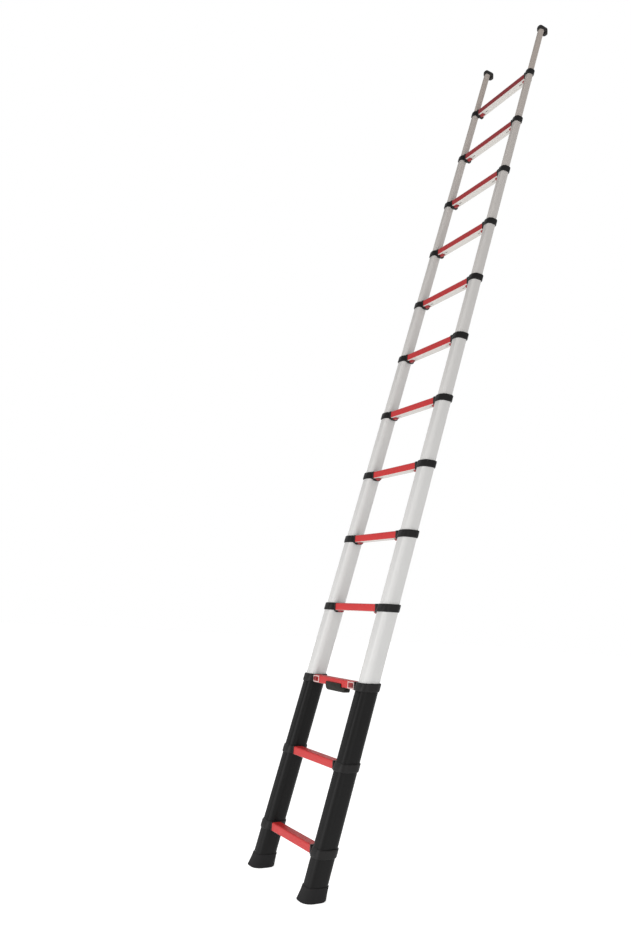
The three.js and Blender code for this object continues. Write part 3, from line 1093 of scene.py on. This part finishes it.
@dataclass(frozen=True)
class Boot:
    """A rubber boot that flares to a level sole with grooves in it."""

    side: Side
    wall: float = 2.8 * MM
    flare: float = 5.5 * MM
    shift: float = 3.0 * MM  # of the sole towards the climber
    sole: float = 8.0 * MM
    rim: float = 1.2 * MM
    sole_edge: float = 2.0 * MM
    levels: int = 10
    ribs: int = 5
    groove: float = 4.0 * MM
    groove_pitch: float = 11.0 * MM
    groove_depth: float = 2.5 * MM
    sole_margin: float = 7.0 * MM
    most_edges: int = 60  # of a face that lies inside the sole's margin
    least_area: float = 10.0 * MM * MM  # of such a face

    def wall_at(self, height: float, full: float) -> tuple[float, float]:
        """The boot's outline at a height.

        Args:
            height: above the floor.
            full: the boot's height.

        Returns:
            How far its outside is from the tube, and how far it is shifted.
        """
        share = max(1 - height / full, 0.0) ** 1.5
        return self.wall + share * self.flare, -share * self.shift * math.cos(LEAN)

    def build(self) -> bpy.types.Object:
        """The boot.

        Returns:
            The piece.
        """
        node = f"foot_{self.side.label}"
        tube = Section.of(f"base_tube_{self.side.label}")
        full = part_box(node)[1].z
        shape = Shape()
        loops = [shape.outline(tube.grown(self.wall_at(0, full)[0] - self.sole_edge), 0, self.wall_at(0, full)[1])]
        for step in range(self.levels + 1):
            height = self.sole_edge + (full - self.rim - self.sole_edge) * step / self.levels
            out, shift = self.wall_at(height, full)
            loops.append(shape.outline(tube.grown(out), height, shift))
        loops.append(shape.outline(tube.grown(self.wall - self.rim), full))
        loops.append(shape.outline(tube.grown(FIT), full))
        loops.append(shape.outline(tube.grown(FIT), self.sole))
        shape.skin(loops)
        bmesh.ops.recalc_face_normals(shape.mesh, faces=shape.mesh.faces)
        self.cut_grooves(shape)
        shape.lean(stile_x(self.side))
        return shape.finish(f"boot_{self.side.label}", "base", Slot.FOOT_RUBBER, [FOOT_RUBBER], [node])

    def cut_grooves(self, shape: Shape) -> None:
        """Sinks grooves across the sole, inside its rim."""
        down = Vector((0, 0, -1))
        sole = [face for face in shape.facing(down) if face.calc_center_median().z < self.rim]
        bmesh.ops.inset_region(shape.mesh, faces=sole, thickness=self.sole_margin, use_even_offset=True)
        middle = sole[0].calc_center_median().y
        starts = [middle + self.groove_pitch * (count - 2.5) + self.groove for count in range(self.ribs)]
        inner = sole
        for y in [edge for start in starts for edge in (start, start + self.groove)]:
            shape.split(Vector((0, y, 0)), Vector((0, 1, 0)), inner)
            inner = [
                f for f in shape.facing(down)
                if f.calc_center_median().z < self.rim
                and len(f.edges) < self.most_edges and f.calc_area() > self.least_area
            ]
        grooves = [
            f for f in inner if any(start < f.calc_center_median().y < start + self.groove for start in starts)
        ]
        for face in grooves:
            if abs(face.calc_center_median().x) < self.rim:
                shape.push([face], Vector((0, 0, self.groove_depth)))


@dataclass(frozen=True)
class WallCap:
    """A rubber hood over a top tube, with a thick lobe on the wall's side."""

    side: Side
    lobe_drop: float = 9.0 * MM
    lobe: float = 15.0 * MM
    crown: float = 13.5 * MM
    crown_steps: int = 8
    edge: float = 1.2 * MM
    crisp: float = math.radians(60)  # a larger angle between faces is rounded off

    def build(self) -> bpy.types.Object:
        """The cap: a domed block with the lobe drawn down from its underside.

        Returns:
            The piece.
        """
        node = f"top_cap_{self.side.label}"
        low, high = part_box(node)
        skirt = low.z + self.lobe_drop
        down = Vector((0, 0, -1))
        shape = Shape()
        shape.block(Vector((low.x, low.y, skirt)), high)
        rims = {edge for face in shape.facing(down) for edge in face.edges}
        shape.round_off(self.crown, self.crown_steps, [edge for edge in shape.mesh.edges if edge not in rims])
        shape.split(Vector((0, high.y - self.lobe, 0)), Vector((0, 1, 0)), shape.facing(down))
        lobes = [face for face in shape.facing(down) if face.calc_center_median().y > high.y - self.lobe]
        shape.push(lobes, down * self.lobe_drop)
        shape.round_off(self.edge, edges=shape.crisp_edges(self.crisp))
        name = f"wall_cap_{self.side.label}"
        return shape.finish(name, f"top_{self.side.label}", Slot.CAP_RUBBER, [CAP_RUBBER], [node])


# ---- Sub-assemblies of the ladder ----


@dataclass(frozen=True)
class Base:
    """Everything that stays put: two black tubes on boots, three rungs, their collars, the latches and the grip."""

    rungs: int = FIXED_RUNGS

    def build(self) -> None:
        """Builds and dresses the base."""
        for side in Side:
            StileTube(f"base_tube_{side.label}", side, "base", Slot.BLACK_TUBE, BLACK_ANODISED).build()
            Boot(side).build()
            Latch(side).build()
        for number in range(1, self.rungs + 1):
            place = RungPlace.of(number)
            Rung(place).build()
            for side in Side:
                Collar(place, side).build()
        CarryGrip().build()


@dataclass(frozen=True)
class SlidingSection:
    """One sliding section: a rung with its tabs, its two collars and its two tubes."""

    number: int

    def build(self) -> None:
        """Builds and dresses the section."""
        place = RungPlace.of(self.number)
        # the tube's silver is painted darker and warmer the higher the section, as painted shade
        finish = silver(self.number - FIXED_RUNGS - 1)
        Rung(place).build()
        for side in Side:
            Collar(place, side).build()
            node = f"tube_{self.number:02d}_{side.label}"
            StileTube(node, side, body_of(self.number), Slot.SILVER_TUBE, finish).build()


@dataclass(frozen=True)
class TopPost:
    """One of the two thin top tubes with its cap."""

    side: Side

    def build(self) -> None:
        """Builds and dresses the top tube and its cap."""
        label = self.side.label
        # the top tubes take the darkest, warmest silver, which is painted shade
        finish = silver(RUNGS - FIXED_RUNGS)
        StileTube(f"top_tube_{label}", self.side, f"top_{label}", Slot.SILVER_TUBE, finish).build()
        WallCap(self.side).build()


# ---- Studio ----


@dataclass(frozen=True)
class Camera:
    """The camera: where it stands, what it looks at, how far it is rolled, and its lens."""

    spot: Vector = Vector((2.594, -1.4412, 0.9298))
    target: Vector = Vector((0.0, 0.0199, 1.4936))
    roll_degrees: float = 3.6
    lens: float = 29.0
    nearest: float = 0.05
    farthest: float = 100.0

    def build(self) -> None:
        """Puts the camera in place and makes it the scene's."""
        data = bpy.data.cameras.new("camera")
        data.lens = self.lens
        data.clip_start = self.nearest
        data.clip_end = self.farthest
        camera = bpy.data.objects.new("camera", data)
        bpy.context.scene.collection.objects.link(camera)
        aim = (self.target - self.spot).to_track_quat("-Z", "Y")
        camera.rotation_mode = "QUATERNION"
        camera.rotation_quaternion = aim @ Quaternion((0, 0, 1), math.radians(self.roll_degrees))
        camera.location = self.spot
        bpy.context.scene.camera = camera


@dataclass(frozen=True)
class Lamp:
    """A soft square light."""

    name: str
    spot: Vector
    size: float
    power: float
    target: Vector = Vector((0, 0.5, 1.8))

    def build(self) -> None:
        """Hangs the lamp."""
        data = bpy.data.lights.new(self.name, "AREA")
        data.size = self.size
        data.energy = self.power
        lamp = bpy.data.objects.new(self.name, data)
        bpy.context.scene.collection.objects.link(lamp)
        lamp.location = self.spot
        lamp.rotation_mode = "QUATERNION"
        lamp.rotation_quaternion = (self.target - self.spot).to_track_quat("-Z", "Y")


@dataclass(frozen=True)
class Studio:
    """A pale floor, a white surround that is dimmer behind the camera, and soft lamps."""

    floor_size: float = 60.0
    floor_colour: Colour = (0.86, 0.86, 0.86)
    surround: Colour = (1.0, 1.0, 1.0)
    dim: Colour = (0.4, 0.4, 0.4)
    bright_towards: Vector = Vector((-0.8, 0.45, 0.2))
    bright_from: float = 0.6  # cosine of the angle at which the surround starts to dim
    bright_full: float = 0.74
    floor_glow: float = 0.8
    lamps: Sequence[Lamp] = (
        Lamp("key", Vector((-0.3, -2.9, 1.5)), 2.0, 52.0, Vector((0, 0.3, 1.2))),
        Lamp("fill", Vector((3.2, -0.6, 1.4)), 2.0, 22.0, Vector((0, 0.3, 1.2))),
    )

    def floor(self) -> None:
        """A wide plain floor."""
        sheet = bmesh.new()
        bmesh.ops.create_grid(sheet, x_segments=1, y_segments=1, size=self.floor_size / 2)
        data = bpy.data.meshes.new("floor")
        sheet.to_mesh(data)
        sheet.free()
        paint = Paint("floor_paper")
        paint.set("Base Color", opaque(self.floor_colour))
        paint.set("Roughness", 0.9)
        paint.set("Specular IOR Level", 0.1)
        paint.set("Emission Color", opaque(self.floor_colour))
        paint.set("Emission Strength", self.floor_glow)
        data.materials.append(paint.material)
        floor = bpy.data.objects.new("floor", data)
        bpy.context.scene.collection.objects.link(floor)

    def world(self) -> None:
        """The surround, bright where the camera looks and dimmer behind it."""
        world = bpy.data.worlds.new("surround")
        world.use_nodes = True
        tree = world.node_tree
        sky = tree.nodes.new("ShaderNodeTexCoord")
        towards = tree.nodes.new("ShaderNodeVectorMath")
        towards.operation = "DOT_PRODUCT"
        towards.inputs[1].default_value = self.bright_towards.normalized()
        share = tree.nodes.new("ShaderNodeMapRange")
        share.interpolation_type = "SMOOTHSTEP"
        share.inputs["From Min"].default_value = self.bright_from
        share.inputs["From Max"].default_value = self.bright_full
        tone = tree.nodes.new("ShaderNodeMix")
        tone.data_type = "RGBA"
        tone.inputs[6].default_value = opaque(self.dim)
        tone.inputs[7].default_value = opaque(self.surround)
        tree.links.new(sky.outputs["Generated"], towards.inputs[0])
        tree.links.new(towards.outputs["Value"], share.inputs["Value"])
        tree.links.new(share.outputs[0], tone.inputs[0])
        tree.links.new(tone.outputs[2], tree.nodes["Background"].inputs["Color"])
        bpy.context.scene.world = world

    def build(self) -> None:
        """The floor, the surround and the lamps."""
        self.floor()
        self.world()
        for lamp in self.lamps:
            lamp.build()
        bpy.context.scene.view_settings.view_transform = "Standard"


def main() -> None:
    """Builds the ladder and its studio."""
    logging.basicConfig(level=logging.INFO, format="%(name)s: %(message)s")
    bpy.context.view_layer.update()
    Camera().build()
    Studio().build()
    Base().build()
    for number in range(FIXED_RUNGS + 1, RUNGS + 1):
        SlidingSection(number).build()
    for side in Side:
        TopPost(side).build()


if __name__ == "__main__":
    main()
